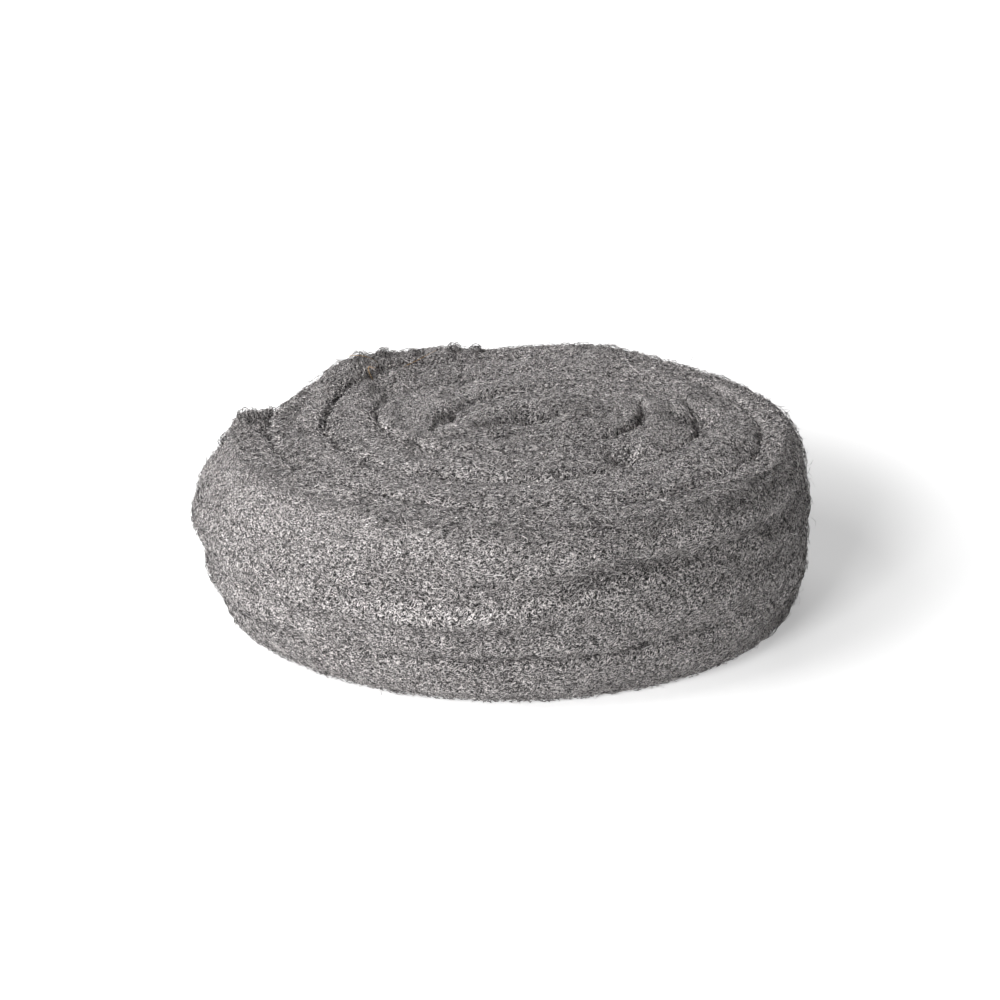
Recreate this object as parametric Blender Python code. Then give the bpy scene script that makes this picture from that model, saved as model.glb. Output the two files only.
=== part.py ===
"""Steel wool pad: one thick sliver of steel wool, wound flat on itself and laid on its side.

The sliver stands on edge and is wound round a short fold at the middle. Each turn lies against
the turn inside it, with a thin seam between them, so the whole pad is one solid ribbon. The
sliver's section changes all along: it is doubled over at the fold, square where another turn
covers it, barrel shaped where it is the outside of the pad, and thin at its loose end.

Metres, +Z up. The origin is on the surface that the pad lies on, under the middle of its box.
"""

from math import pi, radians

import bpy
import numpy as np

# The sliver
SLIVER_WIDTH = 0.0376  # its width, which is the pad's height
TURN_PITCH = 0.0108  # from one turn's outer face to the next one's
SEAM_GAP = 0.0003  # clearance between neighbouring turns
EDGE_RADIUS = 0.0019  # rounding of the edges of a covered turn
SWELLS = (  # how the winding's pitch wanders: size, waves in a turn, start in radians
    (0.0006, 1.37, 0.6),
    (0.0004, 2.71, 0.0),
)

# The winding
TURNS = 4.49
TAIL_AZIMUTH = radians(171.5)  # where the loose end lies, from +X towards +Y
CORE_HALF = 0.0080  # half the length of the fold at the middle
SLIT_HALF = 0.0014  # half the width of the slit left inside the fold
HEAD_THICKNESS = 0.0051  # of the sliver's inner end
HEAD_REACH = 0.12  # turns over which the first turn steps out round the inner end

# The pad's outside
CREST_INSET, CREST_DROP = 0.0050, 0.0180  # how the outer turn rounds off to its top
FOOT_INSET, FOOT_RISE = 0.0062, 0.0153  # and to its underside
EXPOSED_REACH = 0.06  # turns over which a covered section becomes an exposed one
TAIL_TIP = 0.0036  # thickness of the sliver's loose end
TAIL_REACH = 0.050  # turns over which it rounds off
OVAL = (  # how far a turn 50 mm out strays from an oval: size, lobes, azimuth of a lobe
    (0.0004, 2, radians(155)),
    (0.0004, 3, radians(104)),
)
OVAL_AT = 0.050
FOLD_SETBACK = 0.0075  # how far the inner turns lie behind the middle of the outer ones
SETTLED_AT = 0.0490  # offset by which the turns no longer follow them
FOLD_FORWARD = 0.0060  # how far the fold itself lies in front of the inner turns
FOLD_SKEW = 0.45  # and how far its right end lies behind its left end, for its length
FOLD_REACH = 0.0140  # offset over which the turns stop following the fold
BACK_LEAN = 0.0040  # how far the outer wall leans in from foot to crest, at the back
FRONT_LEAN = -0.0025  # and at the front

# Lumps and hollows of the top, from the middle of the fold: x, y, rise, spread
TOP_LUMPS = (
    (-0.0380, 0.0260, 0.0036, 0.0090),  # raised turns at the back left
    (-0.0295, 0.0340, 0.0030, 0.0070),
    (-0.0190, 0.0395, 0.0021, 0.0063),
    (0.0155, 0.0385, 0.0009, 0.0165),  # crest at the back right
    (0.0010, 0.0060, 0.0012, 0.0160),  # the fold stands a little proud
    (-0.0535, 0.0010, 0.0024, 0.0033),  # tip of the loose end
    (-0.0410, -0.0035, -0.0016, 0.0030),  # hollows where the seams gape
    (-0.0283, 0.0197, -0.0024, 0.0036),
    (-0.0190, -0.0128, -0.0018, 0.0036),
    (-0.0130, 0.0155, -0.0016, 0.0036),
    (-0.0145, 0.0045, -0.0022, 0.0030),
    (0.0015, 0.0020, -0.0024, 0.0042),
    (0.0192, -0.0148, -0.0030, 0.0036),
    (0.0340, 0.0045, -0.0034, 0.0036),
    (0.0430, -0.0140, -0.0018, 0.0034),
)
# Strands and grooves round the outer wall: azimuth of the middle, half the reach round the
# pad, height at the middle, climb for each radian, half the width, how far it stands proud
WALL_BANDS = (
    (radians(303), radians(36), 0.0328, 0.0010, 0.0022, 0.0011),  # strand under the crest
    (radians(306), radians(38), 0.0288, 0.0025, 0.0024, -0.0017),  # and the hollow below it
    (radians(298), radians(24), 0.0262, 0.0080, 0.0014, 0.0007),
    (radians(280), radians(14), 0.0314, 0.0140, 0.0015, 0.0007),  # it comes up from the front
    (radians(268), radians(62), 0.0118, 0.0022, 0.0016, -0.0014),  # groove low on the front
    (radians(262), radians(30), 0.0240, 0.0040, 0.0016, -0.0006),
    (radians(253), radians(26), 0.0200, 0.0060, 0.0017, 0.0006),
    (radians(318), radians(34), 0.0188, -0.0030, 0.0018, 0.0007),
    (radians(222), radians(26), 0.0172, 0.0030, 0.0015, -0.0006),
    (radians(188), radians(22), 0.0268, 0.0, 0.0082, 0.0030),  # the loose end bulges
    (radians(206), radians(26), 0.0155, 0.0, 0.0090, 0.0013),  # so does the wall below it
    (radians(52), radians(44), 0.0255, 0.0030, 0.0020, 0.0007),  # and four on the back
    (radians(66), radians(38), 0.0205, 0.0030, 0.0017, -0.0010),
    (radians(112), radians(34), 0.0282, -0.0030, 0.0019, 0.0007),
    (radians(100), radians(50), 0.0110, 0.0020, 0.0017, -0.0011),
)

# Soft ridges all over the wool, drawn out along the winding
RIDGE_SPACING = 0.0085  # from one ridge to the next
RIDGE_STRETCH = 4.0  # how many times longer than wide they are
RIDGE_PROUD = 0.00026  # how far the wool strays from its smooth form, on the whole
RIDGE_WAVES = 7
GOLDEN_ANGLE = radians(137.508)

STATION_SPACING = 0.0036  # along the sliver
STATION_ANGLE = radians(12)  # the most that the winding turns between stations
WALL_CORNER_STEPS = 6  # facets of each rounded corner on the sliver's outer side
SEAM_CORNER_STEPS = 2  # and on its inner side
NOSE_STEPS = 6  # stations over which the loose end rounds off


def eased(x):
    """0 below 0, 1 above 1, and a smooth step between."""
    x = np.clip(x, 0.0, 1.0)
    return x * x * (3 - 2 * x)


def outer_offset(turn):
    """How far out from the fold the sliver's outer face is, after so many turns."""
    swell = sum(size * np.sin(2 * pi * waves * turn + start) for size, waves, start in SWELLS)
    return HEAD_THICKNESS + TURN_PITCH * turn + swell


def inner_offset(turn):
    """The sliver's inner face: the slit's side in the first turn, then the turn inside it."""
    covered = outer_offset(turn - 1) + SEAM_GAP
    return SLIT_HALF + (covered - SLIT_HALF) * eased((turn - 1 + HEAD_REACH) / HEAD_REACH)


def azimuth(turn):
    """The sliver is wound outwards clockwise, seen from above, to its loose end."""
    return TAIL_AZIMUTH + 2 * pi * (TURNS - turn)


def quarter(steps, first_degrees):
    """Cosines and sines of a quarter circle in so many steps."""
    angle = np.radians(first_degrees + np.linspace(0, 90, steps + 1))
    return np.cos(angle), np.sin(angle)


def sections(turn):
    """Offsets and heights of the sliver's section at each station, one row a station.

    The section is a rectangle with an elliptical quarter at each corner, taken round from
    the underside up the outer wall, over the crest and down the inner face. One point more,
    between its two upper corners, lets its top follow the ridges.
    """
    inner = inner_offset(turn)
    outer = outer_offset(turn)
    nose = np.clip((turn - TURNS + TAIL_REACH) / TAIL_REACH, 0.0, 1.0)
    outer = outer + (inner + TAIL_TIP - outer) * (1 - np.sqrt(1 - nose**2))
    exposed = eased((turn - TURNS + 1) / EXPOSED_REACH)

    room = np.minimum(1.0, (outer - inner) / (CREST_INSET + EDGE_RADIUS + SEAM_GAP))
    crest_inset = (EDGE_RADIUS + (CREST_INSET - EDGE_RADIUS) * exposed) * room
    crest_at = outer - crest_inset
    crest_drop = EDGE_RADIUS + (CREST_DROP - EDGE_RADIUS) * exposed
    foot_inset = (EDGE_RADIUS + (FOOT_INSET - EDGE_RADIUS) * exposed) * room
    foot_rise = EDGE_RADIUS + (FOOT_RISE - EDGE_RADIUS) * exposed
    edge = EDGE_RADIUS * room
    flat = np.full_like(turn, EDGE_RADIUS)
    none = np.zeros_like(turn)

    corners = (  # centre's offset and height, half widths, steps, first angle in degrees
        (outer - foot_inset, foot_rise, foot_inset, foot_rise, WALL_CORNER_STEPS, -90),
        (crest_at, SLIVER_WIDTH - crest_drop, crest_inset, crest_drop, WALL_CORNER_STEPS, 0),
        ((crest_at + inner + edge) / 2, none + SLIVER_WIDTH, none, none, 0, 90),
        (inner + edge, SLIVER_WIDTH - flat, edge, flat, SEAM_CORNER_STEPS, 90),
        (inner + edge, flat, edge, flat, SEAM_CORNER_STEPS, 180),
    )
    offsets, heights = [], []
    for offset, height, wide, tall, steps, first in corners:
        cosine, sine = quarter(steps, first)
        offsets.append(offset[:, None] + wide[:, None] * cosine)
        heights.append(height[:, None] + tall[:, None] * sine)
    offsets, heights = np.hstack(offsets), np.hstack(heights)

    # Strands, grooves and ridges shift the exposed wall, and fade out towards the inner face.
    # The ridges lift the top too, and the underside stays flat
    across = (offsets - inner[:, None]) / (outer - inner)[:, None]
    reach = 2 * pi * ((HEAD_THICKNESS + CORE_HALF / 2) * turn + TURN_PITCH * turn**2 / 2)
    ridge = RIDGE_PROUD * ridges(reach[:, None] / RIDGE_STRETCH, offsets, heights)
    relief = wall_relief(azimuth(turn)[:, None], heights) + ridge
    offsets = offsets + relief * across**2 * exposed[:, None]
    heights = heights + ridge * (heights / SLIVER_WIDTH) ** 3
    return offsets, heights


def ridges(x, y, z):
    """Equal waves in directions spread evenly round a ball, summed. They stray by 1 on the whole."""
    total = 0
    for wave in range(RIDGE_WAVES):
        climb = 1 - (2 * wave + 1) / RIDGE_WAVES
        level = np.sqrt(1 - climb**2)
        bearing = wave * GOLDEN_ANGLE
        reach = level * (np.cos(bearing) * x + np.sin(bearing) * y) + climb * z
        total = total + np.sin(2 * pi * reach / RIDGE_SPACING + wave)
    return total * np.sqrt(2 / RIDGE_WAVES)


def wall_relief(angle, height):
    """How far the outer wall's strands and grooves stand proud of it."""
    relief = np.zeros(np.broadcast(angle, height).shape)
    for middle, reach, level, climb, half_width, proud in WALL_BANDS:
        away = (angle - middle + pi) % (2 * pi) - pi
        along = np.exp(-((away / reach) ** 2))
        beside = np.exp(-(((height - level - climb * away) / half_width) ** 2))
        relief += proud * along * beside
    return relief


def wound(angle, offset, height):
    """Points of the pad, from offsets outside the fold. Equal offsets make an oval turn."""
    share = offset / OVAL_AT
    for size, lobes, lobe_at in OVAL:
        offset = offset + size * share * np.cos(lobes * (angle - lobe_at))
    lean = (FRONT_LEAN + BACK_LEAN) / 2 + (BACK_LEAN - FRONT_LEAN) / 2 * np.sin(angle)
    offset = offset - lean * share * (height / SLIVER_WIDTH - 0.5)
    x = (CORE_HALF + offset) * np.cos(angle)
    y = offset * np.sin(angle) + FOLD_SETBACK * (1 - (offset / SETTLED_AT) ** 2)
    y = y + (FOLD_SKEW * x - FOLD_FORWARD) * np.exp(-((offset / FOLD_REACH) ** 2))

    rise = np.zeros_like(x)
    for lump_x, lump_y, lump_rise, spread in TOP_LUMPS:
        rise += lump_rise * np.exp(-((x - lump_x) ** 2 + (y - lump_y) ** 2) / spread**2)
    z = height + rise * (height / SLIVER_WIDTH) ** 3  # the underside stays flat
    return np.stack([x, y, z], axis=-1)


def lofted(name, rings):
    """One closed mesh through rings of equal numbers of points, with a flat cap at each end."""
    stations, corners, _ = rings.shape
    index = np.arange(stations * corners).reshape(stations, corners)
    ahead, beside = index[1:], np.roll(index, -1, axis=1)
    walls = np.stack([index[:-1], beside[:-1], beside[1:], ahead], axis=-1).reshape(-1, 4)
    faces = walls.tolist() + [index[0][::-1].tolist(), index[-1].tolist()]

    mesh = bpy.data.meshes.new(name)
    mesh.from_pydata(rings.reshape(-1, 3).tolist(), [], faces)
    mesh.update()
    return mesh


def wool_material():
    """Bright steel fibres, seen together as a rough mid grey."""
    material = bpy.data.materials.new("steel_wool")
    material.use_nodes = True
    shader = material.node_tree.nodes["Principled BSDF"]
    shader.inputs["Base Color"].default_value = (0.27, 0.26, 0.255, 1.0)
    shader.inputs["Metallic"].default_value = 0.7
    shader.inputs["Roughness"].default_value = 0.6
    material.diffuse_color = (0.27, 0.26, 0.255, 1.0)
    return material


def stations():
    """Turns of the sections, from how many of them each turn needs, then those of the nose."""
    fine = np.linspace(0, TURNS - TAIL_REACH, 4000)
    girth = 2 * pi * (outer_offset(fine) + CORE_HALF / 2)
    needed = np.maximum(girth / STATION_SPACING, 2 * pi / STATION_ANGLE)
    reach = np.cumsum(needed) * fine[1]
    body = np.interp(np.linspace(reach[0], reach[-1], round(reach[-1])), reach, fine)
    nose = np.sin(np.linspace(0, pi / 2, NOSE_STEPS + 1)[1:])
    return np.concatenate([body, TURNS - TAIL_REACH * (1 - nose)])


def wound_pad(collection):
    """The whole pad, with the middle of its box over the origin."""
    turn = stations()
    offsets, heights = sections(turn)
    rings = wound(azimuth(turn)[:, None], offsets, heights)
    points = rings.reshape(-1, 3)
    rings[..., :2] -= (points.min(axis=0) + points.max(axis=0))[:2] / 2

    mesh = lofted("steel_wool_pad", rings)
    mesh.materials.append(wool_material())
    mesh.shade_smooth()
    mesh.set_sharp_from_angle(angle=radians(50))
    pad = bpy.data.objects.new("steel_wool_pad", mesh)
    collection.objects.link(pad)
    return pad


def main():
    for old in list(bpy.data.objects):
        bpy.data.objects.remove(old)
    collection = bpy.data.collections.new("steel_wool_pad")
    bpy.context.scene.collection.children.link(collection)
    wound_pad(collection)


main()
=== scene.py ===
"""Steel wool pad, dressed: the wound sliver's packed skin, its curled fibres and its fringe.

Metres, +Z up, in the frame's own place. The skin and every fibre are laid out in two measures of
the sliver: `turn`, how far along its winding, and `around`, how far round its section.
"""

from collections import namedtuple
from math import cos, pi, radians, sin

import bpy
import numpy as np
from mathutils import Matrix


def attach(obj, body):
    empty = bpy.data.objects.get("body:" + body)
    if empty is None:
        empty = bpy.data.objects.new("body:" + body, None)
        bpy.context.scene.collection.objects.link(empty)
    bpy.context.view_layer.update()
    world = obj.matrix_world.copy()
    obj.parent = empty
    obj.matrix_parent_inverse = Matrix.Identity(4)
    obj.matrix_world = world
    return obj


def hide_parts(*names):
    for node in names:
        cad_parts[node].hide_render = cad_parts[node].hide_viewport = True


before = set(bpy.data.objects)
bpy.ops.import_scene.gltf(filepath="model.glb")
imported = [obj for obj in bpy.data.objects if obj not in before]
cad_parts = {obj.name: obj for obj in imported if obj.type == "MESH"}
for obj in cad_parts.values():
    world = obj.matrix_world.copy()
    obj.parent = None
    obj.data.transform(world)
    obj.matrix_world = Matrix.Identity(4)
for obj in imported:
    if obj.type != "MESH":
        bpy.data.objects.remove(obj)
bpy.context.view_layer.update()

# The sliver and its winding, as in the solid
SLIVER_WIDTH = 0.0376
TURN_PITCH = 0.0108
SEAM_GAP = 0.0003
EDGE_RADIUS = 0.0019
SWELLS = ((0.0006, 1.37, 0.6), (0.0004, 2.71, 0.0))
TURNS = 4.49
TAIL_AZIMUTH = radians(171.5)
CORE_HALF = 0.0080
SLIT_HALF = 0.0014
HEAD_THICKNESS = 0.0051
HEAD_REACH = 0.12
CREST_INSET, CREST_DROP = 0.0050, 0.0180
FOOT_INSET, FOOT_RISE = 0.0062, 0.0153
EXPOSED_REACH = 0.06
TAIL_TIP = 0.0036
TAIL_REACH = 0.050
OVAL = ((0.0004, 2, radians(155)), (0.0004, 3, radians(104)))
OVAL_AT = 0.050
FOLD_SETBACK, SETTLED_AT = 0.0075, 0.0490
FOLD_FORWARD, FOLD_SKEW, FOLD_REACH = 0.0060, 0.45, 0.0140
BACK_LEAN, FRONT_LEAN = 0.0040, -0.0025
TOP_LUMPS = (  # x, y, rise, spread
    (-0.0380, 0.0260, 0.0036, 0.0090),
    (-0.0295, 0.0340, 0.0030, 0.0070),
    (-0.0190, 0.0395, 0.0021, 0.0063),
    (0.0155, 0.0385, 0.0009, 0.0165),
    (0.0010, 0.0060, 0.0012, 0.0160),
    (-0.0535, 0.0010, 0.0024, 0.0033),
    (-0.0410, -0.0035, -0.0016, 0.0030),
    (-0.0283, 0.0197, -0.0024, 0.0036),
    (-0.0190, -0.0128, -0.0018, 0.0036),
    (-0.0130, 0.0155, -0.0016, 0.0036),
    (-0.0145, 0.0045, -0.0022, 0.0030),
    (0.0015, 0.0020, -0.0024, 0.0042),
    (0.0192, -0.0148, -0.0030, 0.0036),
    (0.0340, 0.0045, -0.0034, 0.0036),
    (0.0430, -0.0140, -0.0018, 0.0034),
)
WALL_BANDS = (  # azimuth, half reach, height, climb for each radian, half width, proud
    (radians(303), radians(36), 0.0328, 0.0010, 0.0022, 0.0011),
    (radians(306), radians(38), 0.0288, 0.0025, 0.0024, -0.0017),
    (radians(298), radians(24), 0.0262, 0.0080, 0.0014, 0.0007),
    (radians(280), radians(14), 0.0314, 0.0140, 0.0015, 0.0007),
    (radians(268), radians(62), 0.0118, 0.0022, 0.0016, -0.0014),
    (radians(262), radians(30), 0.0240, 0.0040, 0.0016, -0.0006),
    (radians(253), radians(26), 0.0200, 0.0060, 0.0017, 0.0006),
    (radians(318), radians(34), 0.0188, -0.0030, 0.0018, 0.0007),
    (radians(222), radians(26), 0.0172, 0.0030, 0.0015, -0.0006),
    (radians(188), radians(22), 0.0268, 0.0, 0.0082, 0.0030),
    (radians(206), radians(26), 0.0155, 0.0, 0.0090, 0.0013),
    (radians(52), radians(44), 0.0255, 0.0030, 0.0020, 0.0007),
    (radians(66), radians(38), 0.0205, 0.0030, 0.0017, -0.0010),
    (radians(112), radians(34), 0.0282, -0.0030, 0.0019, 0.0007),
    (radians(100), radians(50), 0.0110, 0.0020, 0.0017, -0.0011),
)
RIDGE_SPACING, RIDGE_STRETCH, RIDGE_PROUD, RIDGE_WAVES = 0.0085, 4.0, 0.00026, 7
GOLDEN_ANGLE = radians(137.508)

# The skin's grid, and the relief that the packed fibres give it
STATIONS = 800
SECTION_POINTS = 72
GIRTH = 0.095  # round the sliver's section
STRANDS = ((0.0340, 0.0034, 0.00034), (0.0160, 0.0015, 0.00020))  # long, wide, proud
TANGLE_SIZE, TANGLE_PROUD = 0.0015, 0.00012
FLAT_RISE = 0.0025  # height over which the underside's flatness gives way to relief
MAP_TOP = 0.96  # the share of the skin's map that its sides take, above which lie its end caps

# Fibres: how long, points along each, how far its heading strays from the winding, how much it
# bends and swings as it goes, how many hook round, lowest and highest lie, how far it billows,
# thinnest and thickest radius, and its tone, from 0, dark, to 1, bright, with its spread
Nature = namedtuple("Nature", "length steps stray bend swing hooks lie billow radius tone")
CURL = Nature(
    length=0.0015,
    steps=4,
    stray=0.85,
    bend=1.3,
    swing=0.25,
    hooks=0.12,
    lie=(-0.00008, 0.00048),
    billow=0.00014,
    radius=(0.00005, 0.00010),
    tone=(0.60, 0.48),
)
SPECK = Nature(
    length=0.0008,
    steps=3,
    stray=0.95,
    bend=1.0,
    swing=0.0,
    hooks=0.10,
    lie=(0.0, 0.00036),
    billow=0.00008,
    radius=(0.00005, 0.00010),
    tone=(0.56, 0.50),
)
LONG_CURL = Nature(
    length=0.0060,
    steps=7,
    stray=0.55,
    bend=1.0,
    swing=0.60,
    hooks=0.20,
    lie=(0.0001, 0.00060),
    billow=0.00025,
    radius=(0.00005, 0.00008),
    tone=(0.66, 0.28),
)
BRIDGE = Nature(
    length=0.0042,
    steps=6,
    stray=1.50,
    bend=1.2,
    swing=0.30,
    hooks=0.10,
    lie=(-0.0001, 0.00040),
    billow=0.00020,
    radius=(0.00006, 0.00010),
    tone=(0.62, 0.30),
)
GLINT = Nature(
    length=0.0030,
    steps=5,
    stray=0.70,
    bend=0.5,
    swing=0.10,
    hooks=0.0,
    lie=(0.00035, 0.00075),
    billow=0.00010,
    radius=(0.00007, 0.00010),
    tone=(0.70, 0.2),
)
# The top's fibres: thicker, with a wider spread of tone, and a little lighter, painted light on the top
TOP_CURL = CURL._replace(radius=(0.00006, 0.00012), tone=(0.62, 0.60))
TOP_SPECK = SPECK._replace(radius=(0.00007, 0.00013), tone=(0.58, 0.62))
CLING = 9.0  # how many times more fibres bridge the seams where they cling
FRINGE_RADIUS, FRINGE_TONE = (0.000025, 0.00005), (0.68, 0.25)
TUFT_RADIUS, TUFT_TONE = (0.00005, 0.00009), (0.42, 0.3)
RUST_RADIUS, RUST_LIE = 0.00010, 0.0015

# Painted light and shade: how a fibre's tone is shifted by where it lies
TOP_PAINTED_LIGHT = 0.28  # painted light at the crest and on the top
LEFT_PAINTED_LIGHT, BACK_PAINTED_LIGHT = 5.0, 8.0  # more painted light on the top, for each metre to its left and to its back
CREST_FROM, CREST_OVER = 0.7, 0.25  # shares of the height: where the crest's painted light begins, and its reach
SEAM_PAINTED_SHADE = 0.45  # painted shade down in the seams
HOLLOW_PAINTED_SHADE = 200.0  # painted shade for each metre that a hollow is deep

# Maps and materials
TONES = 64  # columns of the tone map, from the darkest fibre to the brightest
DARK_STEEL, PALE_STEEL = (0.035, 0.0330, 0.0324), (0.97, 0.92, 0.91)
# The glints' near-white steel: painted highlight, besides the real reflections from their low roughness
DULL_GLINT, FULL_GLINT = (0.82, 0.79, 0.78), (1.0, 0.97, 0.96)
RUST = (0.74, 0.49, 0.25)
PAINTED_GLINT_FLECKS = (23.0, 4.0)  # flecks across the tone map, and along each fibre: painted glints and painted shade along it
PAINTED_GLINT_SHADES = ((0.42, (0.05,) * 3), (0.56, (1.0,) * 3))
STREAK_SLANTS = (8, 38, -31, 80)  # degrees from the winding
STREAK_SCALE = (1.3, 4.6)  # streaks to the millimetre, along and across
# pale streaks of steel, and near-black between them: painted shade in the gaps between fibres
STREAKS_AND_PAINTED_GAP_SHADE = ((0.54, (0.014, 0.0132, 0.0129)), (0.66, (0.96, 0.91, 0.90)))
STREAK_DEPTH = 0.0006

TUFTS = (  # turn, place round the section, size: knots of wool on the back left and the loose end
    (3.575, 0.500, 0.0019),
    (3.600, 0.502, 0.0016),
    (3.628, 0.505, 0.0013),
    (3.662, 0.500, 0.0015),
    (3.679, 0.505, 0.0014),
    (4.463, 0.505, 0.0017),
    (4.452, 0.430, 0.0013),
)
RUSTY_ROUTE = (  # turn and place round the section: one thin strand lying over the back left
    (3.560, 0.485),
    (3.571, 0.505),
    (3.581, 0.536),
    (3.575, 0.545),
    (3.566, 0.534),
    (3.563, 0.547),
    (3.568, 0.560),
    (3.578, 0.556),
    (3.598, 0.552),
    (3.622, 0.542),
    (3.645, 0.530),
)

# The picture
VIEW_LIFT = radians(25.2)
VIEW_DISTANCE = 0.400
VIEW_LENS = 72.0
VIEW_SHIFT = (-0.0244, 0.0106)
AIM_HEIGHT = 0.0190
FLOOR_SIZE, FLOOR_TONE = 4.0, 0.78
SHADOW_MIDDLE = (0.045, 0.035, 0.0)  # the middle of the pad and its shadow
GLOW_RISE = (0.035, 0.092, 0.34, 0.62)  # how far out it begins and ends, and its strength at each
ROOM_LIGHT = 0.09


def eased(x):
    """0 below 0, 1 above 1, and a smooth step between."""
    x = np.clip(x, 0.0, 1.0)
    return x * x * (3 - 2 * x)


def unit(vectors):
    """The same directions, one long."""
    return vectors / np.linalg.norm(vectors, axis=-1, keepdims=True)


def clouds(place, seed):
    """Smooth random values from -1 to 1 in space.

    A lattice of random numbers, one unit apart, blended by an eased weight along each axis.
    """
    lattice = 48
    table = np.random.default_rng(seed).uniform(-1, 1, (lattice,) * 3)
    cell = np.floor(place).astype(int)
    within = eased(place - cell)
    total = np.zeros(place.shape[:-1])
    for corner in np.ndindex(2, 2, 2):
        pick = (cell + corner) % lattice
        share = np.prod(np.where(corner, within, 1 - within), axis=-1)
        total += share * table[pick[..., 0], pick[..., 1], pick[..., 2]]
    return total


def outer_offset(turn):
    """How far out from the fold the sliver's outer face is: a pitch for each turn, and swells."""
    swell = sum(size * np.sin(2 * pi * waves * turn + start) for size, waves, start in SWELLS)
    return HEAD_THICKNESS + TURN_PITCH * turn + swell


def inner_offset(turn):
    """The sliver's inner face: the slit's side in the first turn, then the turn inside it."""
    covered = outer_offset(turn - 1) + SEAM_GAP
    return SLIT_HALF + (covered - SLIT_HALF) * eased((turn - 1 + HEAD_REACH) / HEAD_REACH)


def azimuth(turn):
    """The sliver is wound outwards clockwise, seen from above, to its loose end."""
    return TAIL_AZIMUTH + 2 * pi * (TURNS - turn)


def exposed(turn):
    """0 where another turn covers the sliver's outer face, 1 where it is the pad's wall."""
    return eased((turn - TURNS + 1) / EXPOSED_REACH)


def section(turn, around):
    """Offset and height of the sliver's skin, and which stretch of its section that is.

    The section is eight stretches: a quarter ellipse at each corner, then a straight line to the
    next. `around` runs from 0 to 1 over their whole length, from the outer foot up the wall
    (stretches 0 to 2), over the top (3, 4), down the seam (5) and back underneath (6, 7).
    """
    turn, around = np.broadcast_arrays(turn, around)
    inner, outer = inner_offset(turn), outer_offset(turn)
    nose = np.clip((turn - TURNS + TAIL_REACH) / TAIL_REACH, 0.0, 1.0)
    outer = outer + (inner + TAIL_TIP - outer) * (1 - np.sqrt(1 - nose**2))
    bare = exposed(turn)
    room = np.minimum(1.0, (outer - inner) / (CREST_INSET + EDGE_RADIUS + SEAM_GAP))
    edge = EDGE_RADIUS * room
    crest_inset = edge + (CREST_INSET - EDGE_RADIUS) * bare * room
    foot_inset = edge + (FOOT_INSET - EDGE_RADIUS) * bare * room
    crest_drop = EDGE_RADIUS + (CREST_DROP - EDGE_RADIUS) * bare
    foot_rise = EDGE_RADIUS + (FOOT_RISE - EDGE_RADIUS) * bare
    flat = np.full_like(edge, EDGE_RADIUS)
    corners = (
        (outer - foot_inset, foot_rise, foot_inset, foot_rise, -pi / 2),
        (outer - crest_inset, SLIVER_WIDTH - crest_drop, crest_inset, crest_drop, 0.0),
        (inner + edge, SLIVER_WIDTH - flat, edge, flat, pi / 2),
        (inner + edge, flat, edge, flat, pi),
    )

    def on_corner(corner, share):
        offset, height, wide, tall, first = corner
        angle = first + share * pi / 2
        return offset + wide * np.cos(angle), height + tall * np.sin(angle)

    lengths = []
    for corner, following in zip(corners, corners[1:] + corners[:1]):
        end, start = on_corner(corner, 1.0), on_corner(following, 0.0)
        lengths.append(pi / 2 * np.sqrt((corner[2] ** 2 + corner[3] ** 2) / 2))
        lengths.append(np.hypot(start[0] - end[0], start[1] - end[1]) + 1e-9)
    reach = around * sum(lengths)

    offset, height = np.zeros(turn.shape), np.zeros(turn.shape)
    stretch = np.zeros(turn.shape, int)
    begun = np.zeros(turn.shape)
    for number, length in enumerate(lengths):
        share = np.clip((reach - begun) / length, 0.0, 1.0)
        corner = corners[number // 2]
        if number % 2 == 0:
            spot = on_corner(corner, share)
        else:
            end, start = on_corner(corner, 1.0), on_corner(corners[(number // 2 + 1) % 4], 0.0)
            spot = tuple(a + (b - a) * share for a, b in zip(end, start))
        here = reach >= begun
        offset, height = np.where(here, spot[0], offset), np.where(here, spot[1], height)
        stretch = np.where(here, number, stretch)
        begun = begun + length

    reach = 2 * pi * ((HEAD_THICKNESS + CORE_HALF / 2) * turn + TURN_PITCH * turn**2 / 2)
    ridge = RIDGE_PROUD * ridges(reach / RIDGE_STRETCH, offset, height)
    relief = wall_relief(azimuth(turn), height) + ridge
    across = (offset - inner) / (outer - inner)
    return offset + relief * across**2 * bare, height + ridge * (height / SLIVER_WIDTH) ** 3, stretch


def ridges(x, y, z):
    """Equal waves in directions spread evenly round a ball, summed. They stray by 1 on the whole."""
    total = 0
    for wave in range(RIDGE_WAVES):
        climb = 1 - (2 * wave + 1) / RIDGE_WAVES
        level = np.sqrt(1 - climb**2)
        bearing = wave * GOLDEN_ANGLE
        reach = level * (np.cos(bearing) * x + np.sin(bearing) * y) + climb * z
        total = total + np.sin(2 * pi * reach / RIDGE_SPACING + wave)
    return total * np.sqrt(2 / RIDGE_WAVES)


def wall_relief(angle, height):
    """How far the outer wall's strands and grooves stand proud of it, each a long soft ridge."""
    relief = np.zeros(np.broadcast(angle, height).shape)
    for middle, reach, level, climb, half_width, proud in WALL_BANDS:
        away = (angle - middle + pi) % (2 * pi) - pi
        beside = (height - level - climb * away) / half_width
        relief += proud * np.exp(-((away / reach) ** 2)) * np.exp(-(beside**2))
    return relief


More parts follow.
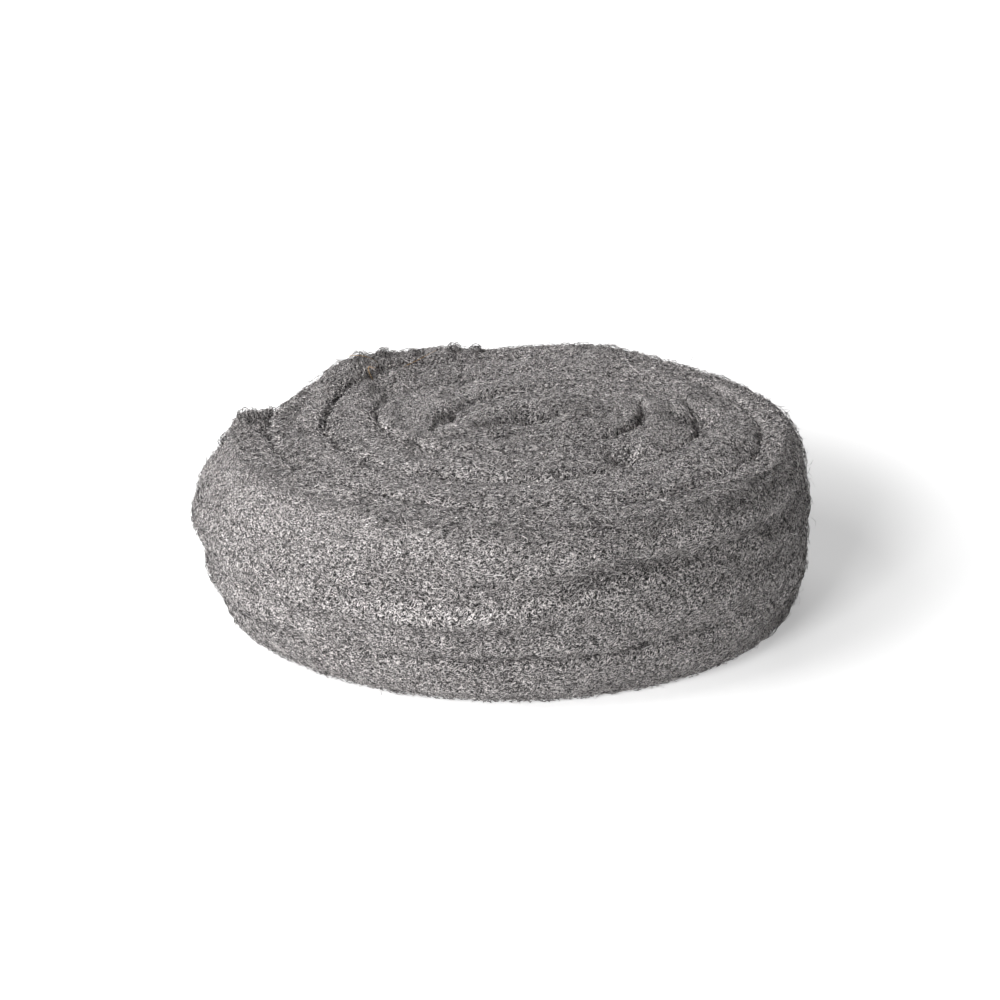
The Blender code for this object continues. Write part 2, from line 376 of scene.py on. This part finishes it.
def wound(angle, offset, height):
    """Points of the pad, from offsets outside the fold. Equal offsets make an oval turn."""
    share = offset / OVAL_AT
    for size, lobes, lobe_at in OVAL:
        offset = offset + size * share * np.cos(lobes * (angle - lobe_at))
    lean = (FRONT_LEAN + BACK_LEAN) / 2 + (BACK_LEAN - FRONT_LEAN) / 2 * np.sin(angle)
    offset = offset - lean * share * (height / SLIVER_WIDTH - 0.5)
    x = (CORE_HALF + offset) * np.cos(angle)
    y = offset * np.sin(angle) + FOLD_SETBACK * (1 - (offset / SETTLED_AT) ** 2)
    y = y + (FOLD_SKEW * x - FOLD_FORWARD) * np.exp(-((offset / FOLD_REACH) ** 2))
    return np.stack([x, y, height + top_rise(x, y) * (height / SLIVER_WIDTH) ** 3], axis=-1)


def top_rise(x, y):
    """How far the top's lumps lift it, each a soft round hill or hollow."""
    rise = np.zeros_like(x)
    for lump_x, lump_y, lump_rise, spread in TOP_LUMPS:
        rise += lump_rise * np.exp(-((x - lump_x) ** 2 + (y - lump_y) ** 2) / spread**2)
    return rise


def bare_skin(turn, around):
    """Points of the sliver's smooth skin, in the frame's place."""
    offset, height, _ = section(turn, around)
    return wound(azimuth(turn), offset, height) - MIDDLE


def middle_of_box():
    """What the solid is shifted by, so that the middle of its box is over the origin."""
    turn = np.linspace(TURNS - 1.2, TURNS, 500)[:, None]
    offset, height, _ = section(turn, np.linspace(0, 0.7, 60))
    points = wound(azimuth(turn), offset, height).reshape(-1, 3)
    return (points.min(axis=0) + points.max(axis=0)) / 2 * (1, 1, 0)


def directions(turn, around):
    """Unit vectors along the winding, across it, and out of the skin, from small steps on it."""
    step = 0.002
    point = bare_skin(turn, around)
    along = unit(bare_skin(turn + step, around) - bare_skin(turn - step, around))
    up = bare_skin(turn, (around + step) % 1) - bare_skin(turn, (around - step) % 1)
    out = unit(np.cross(up, along))
    return point, along, np.cross(out, along), out


def winding_length():
    """Turns, and the length of sliver wound by each, taking a turn as an oval of its offset."""
    turn = np.linspace(0, TURNS, 2000)
    stride = 2 * pi * (outer_offset(turn) - TURN_PITCH / 2 + CORE_HALF * 0.6)
    length = np.concatenate([[0], np.cumsum((stride[1:] + stride[:-1]) / 2 * np.diff(turn))])
    return turn, length


def skin(turn, around):
    """The packed fibres' skin and its directions.

    The smooth skin is pushed out by long narrow strands that run along the winding, wide ones
    and fine ones, and by a tangle. The underside stays flat where the pad lies on it.
    """
    point, along, across, out = directions(turn, around)
    turns, lengths = winding_length()
    reach = np.interp(turn, turns, lengths)
    relief = TANGLE_PROUD * clouds(point / TANGLE_SIZE, 13)
    for number, (long, wide, proud) in enumerate(STRANDS):
        strand = np.stack(np.broadcast_arrays(reach / long, around * GIRTH / wide, number), -1)
        relief += proud * clouds(strand, 11)
    relief = relief * eased(point[..., 2] / FLAT_RISE)
    pushed = point + out * relief[..., None]
    pushed[..., 2] = np.maximum(pushed[..., 2], 0.0)
    return pushed, along, across, out


def stations_along():
    """Turns of the skin's rows: evenly far apart along the sliver, and close at its nose."""
    turns, lengths = winding_length()
    body = np.interp(np.linspace(0, lengths[-1], STATIONS), lengths, turns)
    nose = TURNS - TAIL_REACH * (1 - np.sin(np.linspace(0, pi / 2, 14)))
    return np.unique(np.concatenate([body[body < TURNS - TAIL_REACH], nose]))


def places_around(turn):
    """Where the skin's points lie round each section: close where it shows, and far in a seam."""
    fine = np.linspace(0, 1, 1200, endpoint=False)
    templates = []
    for sample in (TURNS - 1.5, TURNS - 0.5):
        _, height, stretch = section(np.full_like(fine, sample), fine)
        near_edge = np.minimum(height, SLIVER_WIDTH - height) < 1.3 * EDGE_RADIUS
        bare_wall = (stretch <= 2) & (sample > TURNS - 1)
        reach = np.cumsum(np.where(near_edge | bare_wall, 1.0, 0.12))
        wanted = np.linspace(0, reach[-1], SECTION_POINTS, endpoint=False)
        templates.append(np.interp(wanted, np.concatenate([[0], reach[:-1]]), fine))
    bare = exposed(turn)[:, None]
    return templates[0] * (1 - bare) + templates[1] * bare


def mesh_object(name, points, faces, places, material):
    """An object with this mesh, and its faces' corners placed on its own map, named OFBake."""
    mesh = bpy.data.meshes.new(name)
    mesh.from_pydata(points, [], faces)
    layer = mesh.uv_layers.new(name="OFBake")
    layer.uv.foreach_set("vector", np.asarray(places, np.float32).ravel())
    mesh.materials.append(material)
    mesh.shade_smooth()
    mesh.update()
    piece = bpy.data.objects.new(name, mesh)
    bpy.context.scene.collection.objects.link(piece)
    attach(piece, "root")
    return piece


def packed_skin(material):
    """The whole sliver as one closed skin: rows of sections along the winding, capped at its ends."""
    turn = stations_along()
    around = places_around(turn)
    rings, _, _, _ = skin(turn[:, None], around)
    rows, columns = around.shape
    index = np.arange(rows * columns).reshape(rows, columns)
    beside = np.roll(index, -1, axis=1)
    sides = np.stack([index[:-1], beside[:-1], beside[1:], index[1:]], axis=-1).reshape(-1, 4)
    faces = sides.tolist() + [index[0][::-1].tolist(), index[-1].tolist()]

    turns, lengths = winding_length()
    along = np.interp(turn, turns, lengths / lengths[-1])[:, None]
    low = np.stack(np.broadcast_arrays(along, around * MAP_TOP), -1)
    high = np.stack(np.broadcast_arrays(along, np.roll(around, -1, axis=1) * MAP_TOP), -1)
    high[:, -1, 1] = MAP_TOP
    places = np.stack([low[:-1], high[:-1], high[1:], low[1:]], axis=2).reshape(-1, 2)
    circle = np.linspace(0, 2 * pi, columns, endpoint=False)
    cap = np.stack([np.cos(circle), np.sin(circle)], -1) * 0.012
    places = np.concatenate([places, cap[::-1] + (0.02, 0.98), cap + (0.06, 0.98)])
    return mesh_object("packed_skin", rings.reshape(-1, 3), faces, places, material)


def strands(name, path, apart, radius, tone, material):
    """Many fibres in one mesh, each a three-sided blade that tapers to a point at both ends.

    path holds each fibre's points, and apart a direction well away from its path, which its
    sides are turned from. A fibre's tone picks its column of the tone map, and the map's height
    runs along the fibre.
    """
    count, steps, _ = path.shape
    tangent = unit(np.gradient(path, axis=1))
    side = unit(np.cross(np.broadcast_to(apart[:, None], path.shape), tangent))
    other = np.cross(tangent, side)
    inside = slice(1, steps - 1)
    swell = np.sin(np.linspace(0, pi, steps))[inside] ** 0.3
    angle = np.arange(3)[:, None] * 2 * pi / 3
    spoke = side[:, inside, None] * np.cos(angle) + other[:, inside, None] * np.sin(angle)
    rings = path[:, inside, None] + spoke * (radius[:, None] * swell)[..., None, None]
    points = np.concatenate([path[:, :1], rings.reshape(count, -1, 3), path[:, -1:]], axis=1)

    ring = 1 + np.arange((steps - 2) * 3).reshape(-1, 3)
    turned = np.roll(ring, -1, axis=1)
    last = points.shape[1] - 1
    start = np.stack([np.zeros(3, int), turned[0], ring[0]], -1)
    lower = np.stack([ring[:-1], turned[:-1], turned[1:]], -1).reshape(-1, 3)
    upper = np.stack([ring[:-1], turned[1:], ring[1:]], -1).reshape(-1, 3)
    end = np.stack([np.full(3, last), ring[-1], turned[-1]], -1)
    one = np.concatenate([start, lower, upper, end])
    faces = (one[None] + (np.arange(count) * (last + 1))[:, None, None]).reshape(-1, 3)

    corner_sides = (((0.5, 0.85, 0.15), 3), ((0.15, 0.85, 0.85), len(lower)))
    corner_sides += (((0.15, 0.85, 0.15), len(upper)), ((0.5, 0.15, 0.85), 3))
    across = np.concatenate([np.tile(sides, (repeats, 1)) for sides, repeats in corner_sides])
    middle = np.repeat(np.linspace(0.02, 0.98, steps)[inside], 3)
    upward = np.concatenate([[0.02], middle, [0.98]])[one]
    column = np.clip(np.floor(tone * TONES), 0, TONES - 1)[:, None, None]
    places = np.stack([(across + column) / TONES, np.broadcast_to(upward, (count, *one.shape))], -1)
    return mesh_object(name, points.reshape(-1, 3), faces, places.reshape(-1, 2), material)


def roots(count, chance, rng):
    """Random places on the skin, as likely in each part as its area times the chance given it."""
    turn = np.linspace(0.02, TURNS - 0.001, 900)
    around = np.linspace(0, 1, 160, endpoint=False)
    grid = bare_skin(turn[:, None], around)
    _, height, stretch = section(turn[:, None], around)
    along = np.linalg.norm(np.gradient(grid, axis=0), axis=-1)
    up = np.linalg.norm(np.roll(grid, -1, axis=1) - grid, axis=-1)
    weight = along * up * chance(turn[:, None], height, stretch)
    share = np.cumsum(weight.ravel()) / weight.sum()
    cell = np.searchsorted(share, rng.random(count))
    row, column = np.divmod(cell, around.size)
    turn_at = turn[row] + (rng.random(count) - 0.5) * (turn[1] - turn[0])
    around_at = (around[column] + rng.random(count) / around.size) % 1
    return np.clip(turn_at, 0.01, TURNS - 0.0005), around_at


def painted_light_and_shade(turn, around, point):
    """How much brighter or darker a fibre is than its nature says, by where its root lies.

    Painted light makes the crest and the top lighter, most at the left and the back.
    Painted shade makes hollows and seams darker.
    """
    x, y, height = (point + MIDDLE).T
    hollow = np.minimum(top_rise(x, y), 0) * (height / SLIVER_WIDTH) ** 3
    hollow += np.minimum(wall_relief(azimuth(turn), height), 0) * exposed(turn)
    _, level, stretch = section(turn, around)
    crest = eased((level / SLIVER_WIDTH - CREST_FROM) / CREST_OVER)
    lip = eased((level - SLIVER_WIDTH) / EDGE_RADIUS + 1)
    outside = exposed(turn) * (stretch <= 2)
    inside = (1 - outside) * (level > SLIVER_WIDTH / 2)
    # painted light: lighter on the crest and the top, more to the left and to the back
    painted_light = TOP_PAINTED_LIGHT + BACK_PAINTED_LIGHT * np.maximum(point[:, 1], 0) - LEFT_PAINTED_LIGHT * point[:, 0]
    upper = crest * outside + lip * inside
    # painted shade: darker down in the seams, and in hollows by how deep they are
    return painted_light * upper - SEAM_PAINTED_SHADE * (1 - lip) * inside + HOLLOW_PAINTED_SHADE * hollow


def laid_fibres(name, count, chance, nature, seed, material):
    """Fibres that lie in the skin, curling as they go.

    From its root a fibre heads along the winding, give or take, and its heading swings and bends
    as it goes, within the skin's tangent plane. It rises out of the skin and dips back into it.
    """
    rng = np.random.default_rng(seed)
    turn, around = roots(count, chance, rng)
    point, along, across, out = skin(turn, around)
    share = np.linspace(0, 1, nature.steps)

    def each(low, high):
        return rng.uniform(low, high, count)[:, None]

    def about(middle, spread):
        return rng.normal(middle, spread, count)[:, None]

    heading = about(0, nature.stray) + pi * (each(0, 1) < 0.5)
    hooked = each(0, 1) < nature.hooks
    bend = np.where(hooked, np.sign(each(-1, 1)) * each(2.5, 4.5), about(0, nature.bend))
    turned = heading + bend * (share - 0.5)
    turned = turned + about(0, nature.swing) * np.sin(2 * pi * (each(0.8, 2.2) * share + each(0, 1)))
    stride = nature.length * each(0.6, 1.4) / (nature.steps - 1)
    ahead = np.cumsum(np.cos(turned) * stride, axis=1)
    aside = np.cumsum(np.sin(turned) * stride, axis=1)
    ahead, aside = ahead - ahead.mean(1, keepdims=True), aside - aside.mean(1, keepdims=True)
    lift = each(*nature.lie) + nature.billow * np.sin(2 * pi * (each(0.5, 1.5) * share + each(0, 1)))
    path = point[:, None] + along[:, None] * ahead[..., None] + across[:, None] * aside[..., None]
    path = path + out[:, None] * lift[..., None]
    path[..., 2] = np.maximum(path[..., 2], nature.radius[1])
    radius = rng.uniform(*nature.radius, count)
    # each fibre's random tone, plus painted light and shade by where its root lies
    tone = np.clip(rng.normal(*nature.tone, count) + painted_light_and_shade(turn, around, point), 0, 1)
    return strands(name, path, out, radius, tone, material)


def fringe_fibres(name, count, chance, length, steps, seed, material):
    """Loose fibres that spring out of the skin and curl over.

    Each heads out at a slant from its root and bends steadily, in a plane of its own that holds
    the way out of the skin, and sways a little to either side of that plane.
    """
    rng = np.random.default_rng(seed)
    turn, around = roots(count, chance, rng)
    point, along, across, out = skin(turn, around)
    share = np.linspace(0, 1, steps)

    def each(low, high):
        return rng.uniform(low, high, count)[:, None]

    def about(middle, spread):
        return rng.normal(middle, spread, count)[:, None]

    bearing = each(0, 2 * pi)
    level = unit(along * np.cos(bearing) + across * np.sin(bearing) * 0.7)
    flat = unit(np.cross(level, out))
    turned = each(0.2, 1.2) - each(0.6, 5.0) * share
    turned = turned + about(0, 0.4) * np.sin(2 * pi * share * each(0.7, 1.6))
    stride = length * each(0.4, 1.5) / (steps - 1)
    ahead = np.cumsum(np.cos(turned) * stride, axis=1)
    up = np.cumsum(np.sin(turned) * stride, axis=1) - 0.0002
    sway = about(0, 0.0004) * np.sin(pi * share * each(0.8, 2.0))
    path = point[:, None] + level[:, None] * ahead[..., None] + out[:, None] * up[..., None]
    path = path + flat[:, None] * sway[..., None]
    path[..., 2] = np.maximum(path[..., 2], 0.00012)
    radius = rng.uniform(*FRINGE_RADIUS, count)
    tone = np.clip(rng.normal(*FRINGE_TONE, count), 0, 1)
    return strands(name, path, flat, radius, tone, material)


def tufts(name, count, seed, material):
    """Small knots of wool that stand on the skin: short arcs wrapped round a lumpy ball each.

    A fibre is an arc of a circle about the ball's middle, in a plane of its own, at a random
    distance out, so the fibres are dense inside and thin out at the rim.
    """
    rng = np.random.default_rng(seed)
    which = rng.integers(0, len(TUFTS), count)
    turn, around, size = np.array(TUFTS)[which].T
    point, _, _, out = skin(turn, around)
    middle = point + out * size[:, None] * 0.05
    first = unit(rng.normal(size=(count, 3)))
    axis = unit(np.cross(first, rng.normal(size=(count, 3))))
    angle = np.linspace(-0.5, 0.5, 6) * rng.uniform(1.0, 2.6, count)[:, None]
    reach = size * rng.uniform(0.4, 1.25, count)
    second = np.cross(axis, first)
    arc = first[:, None] * np.cos(angle)[..., None] + second[:, None] * np.sin(angle)[..., None]
    path = middle[:, None] + arc * reach[:, None, None]
    radius = rng.uniform(*TUFT_RADIUS, count)
    tone = np.clip(rng.normal(*TUFT_TONE, count), 0, 1)
    return strands(name, path, first, radius, tone, material)


def rusty_strand(material):
    """One long thin strand lying over the wool, on a smooth curve through its route's points."""
    wanted = np.linspace(0, 1, 42)
    knots = np.linspace(0, 1, len(RUSTY_ROUTE))
    route = np.array(RUSTY_ROUTE)
    turn, around = (np.interp(wanted, knots, route[:, i]) for i in (0, 1))
    point, _, _, out = skin(turn, around)
    path = point + out * RUST_LIE
    for _ in range(3):
        path[1:-1] = (path[:-2] + path[1:-1] * 2 + path[2:]) / 4
    one = np.ones(1)
    return strands("rusty_strand", path[None], out[:1], RUST_RADIUS * one, 0.5 * one, material)


def new_material(name, metallic, roughness):
    """A material with its tree and the tree's shader."""
    material = bpy.data.materials.new(name)
    material.use_nodes = True
    shader = material.node_tree.nodes["Principled BSDF"]
    shader.inputs["Metallic"].default_value = metallic
    shader.inputs["Roughness"].default_value = roughness
    return material, material.node_tree, shader


def map_place(tree):
    """The surface's own place on its map."""
    place = tree.nodes.new("ShaderNodeUVMap")
    place.uv_map = "OFBake"
    return place.outputs["UV"]


def noise(tree, place, scale, detail):
    """Cloudy noise about 0.5 at a place, with its blotches one unit apart over the scale."""
    node = tree.nodes.new("ShaderNodeTexNoise")
    node.inputs["Scale"].default_value = scale
    node.inputs["Detail"].default_value = detail
    tree.links.new(place, node.inputs["Vector"])
    return node.outputs["Fac"]


def ramp(tree, value, stops):
    """A colour for each value, blended between stops of position and colour."""
    node = tree.nodes.new("ShaderNodeValToRGB")
    for element, (position, colour) in zip(node.color_ramp.elements, stops):
        element.position = position
        element.color = (*colour, 1)
    tree.links.new(value, node.inputs["Fac"])
    return node.outputs["Color"]


def stretched(tree, place, scale, turned=0.0):
    """The same place scaled along each axis, then turned about the map's corner."""
    node = tree.nodes.new("ShaderNodeMapping")
    node.inputs["Scale"].default_value = (*scale, 1)
    node.inputs["Rotation"].default_value = (0, 0, turned)
    tree.links.new(place, node.inputs["Vector"])
    return node.outputs["Vector"]


def fibre_steel(name, dark, bright, roughness, metallic):
    """Fibres' steel: its tone is read from the fibre's own column of the map, flecked along it with
    painted glints and shade.
    """
    material, tree, shader = new_material(name, metallic, roughness)
    place = map_place(tree)
    parts = tree.nodes.new("ShaderNodeSeparateXYZ")
    tree.links.new(place, parts.inputs["Vector"])
    tone = ramp(tree, parts.outputs["X"], ((0.0, dark), (1.0, bright)))
    # flecks of painted glint and painted shade along each fibre
    painted_glint = noise(tree, stretched(tree, place, PAINTED_GLINT_FLECKS), 1.0, 1.0)
    shade = ramp(tree, painted_glint, PAINTED_GLINT_SHADES)
    tint = tree.nodes.new("ShaderNodeMix")
    tint.data_type = "RGBA"
    tint.blend_type = "MULTIPLY"
    tint.inputs["Factor"].default_value = 1.0
    tree.links.new(tone, tint.inputs["A"])
    tree.links.new(shade, tint.inputs["B"])
    tree.links.new(tint.outputs["Result"], shader.inputs["Base Color"])
    return material


def packed_steel():
    """The wool between and beneath the single fibres.

    Short streaks of noise lie at several slants to the winding, and the lightest of them shows
    at each place, as fibres lie over each other, with near-black painted shade in the gaps between.
    """
    material, tree, shader = new_material("packed_wool", 0.35, 0.6)
    _, lengths = winding_length()
    in_millimetres = (lengths[-1] * 1000, GIRTH * 1000 / MAP_TOP)
    place = stretched(tree, map_place(tree), in_millimetres)
    lightest = None
    for slant in STREAK_SLANTS:
        along = stretched(tree, stretched(tree, place, (1, 1), radians(slant)), STREAK_SCALE)
        streaks = noise(tree, along, 1.0, 2.0)
        if lightest is None:
            lightest = streaks
            continue
        over = tree.nodes.new("ShaderNodeMath")
        over.operation = "MAXIMUM"
        tree.links.new(lightest, over.inputs[0])
        tree.links.new(streaks, over.inputs[1])
        lightest = over.outputs[0]
    # streak colour, with near-black painted shade in the gaps
    colour = ramp(tree, lightest, STREAKS_AND_PAINTED_GAP_SHADE)
    tree.links.new(colour, shader.inputs["Base Color"])
    bump = tree.nodes.new("ShaderNodeBump")
    bump.inputs["Strength"].default_value = 0.9
    bump.inputs["Distance"].default_value = STREAK_DEPTH
    tree.links.new(lightest, bump.inputs["Height"])
    tree.links.new(bump.outputs["Normal"], shader.inputs["Normal"])
    return material


def on_top(turn, height, stretch):
    """Chance of a fibre: the top of every turn and its rounded edges, and less down its seams."""
    return eased((height - SLIVER_WIDTH + 1.1 * EDGE_RADIUS) / EDGE_RADIUS) + 0 * turn


def at_seams(turn, height, stretch):
    """Chance of a fibre: the lips of the seams between the turns, most where they cling together.

    They cling at the left, over the last part of each turn before the loose end's azimuth.
    """
    lip = (height > SLIVER_WIDTH - 0.6 * EDGE_RADIUS) * np.isin(stretch, (2, 4))
    past_end = (turn - TURNS + 0.14) % 1
    cling = 1 + CLING * np.exp(-(((past_end - 0.08) / 0.08) ** 2)) * (turn > 2)
    return lip * (1 - exposed(turn) * (stretch == 2)) * cling


def on_wall(turn, height, stretch):
    """Chance of a fibre: the outer turn's wall, from foot to crest."""
    return exposed(turn) * (stretch <= 2) * (height > 0.0008)


def underneath(turn, height, stretch):
    """Chance of a fibre: the underside of every turn."""
    return np.where(height < 1.25 * EDGE_RADIUS, 1.0, 0.0) + 0 * turn


def outline(turn, height, stretch):
    """Chance of a loose fibre: all over the outside, and most at the crest."""
    wall = exposed(turn) * (stretch <= 2) * (height > 0.002)
    crest = exposed(turn) * (height > 0.6 * SLIVER_WIDTH) * (stretch <= 3)
    return wall * 0.7 + crest * 0.8 + on_top(turn, height, stretch) * 0.35


def floor():
    """A wide pale floor, which the camera, mirrors and glass see lifted to white by a glow.

    The glow is weakest where the pad's shadow falls, and rises away from there.
    """
    material, tree, shader = new_material("pale_floor", 0.0, 0.9)
    shader.inputs["Base Color"].default_value = (FLOOR_TONE, FLOOR_TONE, FLOOR_TONE, 1)
    shader.inputs["Specular IOR Level"].default_value = 0.1
    shader.inputs["Emission Color"].default_value = (1, 1, 1, 1)
    paths = tree.nodes.new("ShaderNodeLightPath")
    seen = paths.outputs["Is Camera Ray"]
    for ray in ("Is Glossy Ray", "Is Transmission Ray"):
        either = tree.nodes.new("ShaderNodeMath")
        either.operation = "MAXIMUM"
        tree.links.new(seen, either.inputs[0])
        tree.links.new(paths.outputs[ray], either.inputs[1])
        seen = either.outputs[0]
    place = tree.nodes.new("ShaderNodeTexCoord")
    away = tree.nodes.new("ShaderNodeVectorMath")
    away.operation = "DISTANCE"
    away.inputs[1].default_value = SHADOW_MIDDLE
    tree.links.new(place.outputs["Object"], away.inputs[0])
    lifted = tree.nodes.new("ShaderNodeMapRange")
    lifted.interpolation_type = "SMOOTHSTEP"
    for socket, value in zip(("From Min", "From Max", "To Min", "To Max"), GLOW_RISE):
        lifted.inputs[socket].default_value = value
    tree.links.new(away.outputs["Value"], lifted.inputs["Value"])
    glow = tree.nodes.new("ShaderNodeMath")
    glow.operation = "MULTIPLY"
    tree.links.new(seen, glow.inputs[0])
    tree.links.new(lifted.outputs["Result"], glow.inputs[1])
    tree.links.new(glow.outputs[0], shader.inputs["Emission Strength"])
    corners = [(x * FLOOR_SIZE, y * FLOOR_SIZE, 0) for x, y in ((-1, -1), (1, -1), (1, 1), (-1, 1))]
    mesh = bpy.data.meshes.new("floor")
    mesh.from_pydata(corners, [], [(0, 1, 2, 3)])
    mesh.materials.append(material)
    ground = bpy.data.objects.new("floor", mesh)
    bpy.context.scene.collection.objects.link(ground)


def lamp(name, bearing, lift, distance, size, power):
    """A square soft light that faces the pad, seen from it at a bearing from +X and a height."""
    light = bpy.data.lights.new(name, "AREA")
    light.size = size
    light.energy = power
    holder = bpy.data.objects.new(name, light)
    bpy.context.scene.collection.objects.link(holder)
    level = distance * cos(lift)
    holder.location = (level * cos(bearing), level * sin(bearing), AIM_HEIGHT + distance * sin(lift))
    holder.rotation_euler = (pi / 2 - lift, 0, bearing + pi / 2)


def studio():
    """A dim even room, with a key light at the front left, two lights at the left and one behind."""
    world = bpy.data.worlds.new("room")
    bpy.context.scene.world = world
    world.use_nodes = True
    background = world.node_tree.nodes["Background"]
    background.inputs["Color"].default_value = (1, 1, 1, 1)
    background.inputs["Strength"].default_value = ROOM_LIGHT
    lamp("key", radians(240), radians(28), 2.4, 0.70, 39.0)
    lamp("side", radians(195), radians(14), 2.4, 1.40, 8.0)
    lamp("high", radians(203), radians(45), 0.55, 0.30, 1.95)
    lamp("backdrop", radians(104), radians(27), 2.4, 2.40, 29.0)


def camera():
    """The photograph's view: level across, looking down on the pad from in front."""
    view = bpy.data.cameras.new("view")
    view.lens = VIEW_LENS
    view.sensor_width = 36.0
    view.shift_x, view.shift_y = VIEW_SHIFT
    view.clip_start = 0.01
    holder = bpy.data.objects.new("view", view)
    bpy.context.scene.collection.objects.link(holder)
    aim = np.array([-MIDDLE[0], -MIDDLE[1], AIM_HEIGHT])
    holder.location = aim + VIEW_DISTANCE * np.array([0, -cos(VIEW_LIFT), sin(VIEW_LIFT)])
    holder.rotation_euler = (pi / 2 - VIEW_LIFT, 0, 0)
    bpy.context.scene.camera = holder


MIDDLE = middle_of_box()
wool = fibre_steel("fibre_steel", DARK_STEEL, PALE_STEEL, 0.40, 0.40)
# near-white glint fibres: painted highlight, besides real reflections from their low roughness
glint = fibre_steel("painted_glint_steel", DULL_GLINT, FULL_GLINT, 0.28, 0.85)
rust = fibre_steel("rusty_steel", RUST, RUST, 0.5, 0.3)
body = packed_skin(packed_steel())
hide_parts("steel_wool_pad")
laid_fibres("wall_curls", 14000, on_wall, CURL, 21, wool)
laid_fibres("wall_specks", 30000, on_wall, SPECK, 22, wool)
laid_fibres("top_curls", 9000, on_top, TOP_CURL, 31, wool)
laid_fibres("top_specks", 18000, on_top, TOP_SPECK, 32, wool)
laid_fibres("underside_curls", 3000, underneath, CURL, 41, wool)
laid_fibres("long_curls", 2500, outline, LONG_CURL, 51, wool)
laid_fibres("bridging_curls", 2400, at_seams, BRIDGE, 55, wool)
laid_fibres("glints", 450, outline, GLINT, 61, glint)
fringe_fibres("fringe", 6400, outline, 0.0027, 5, 71, wool)
tufts("tufts", 600, 81, wool)
rusty_strand(rust)
floor()
studio()
camera()

bpy.context.scene.view_settings.view_transform = "Standard"
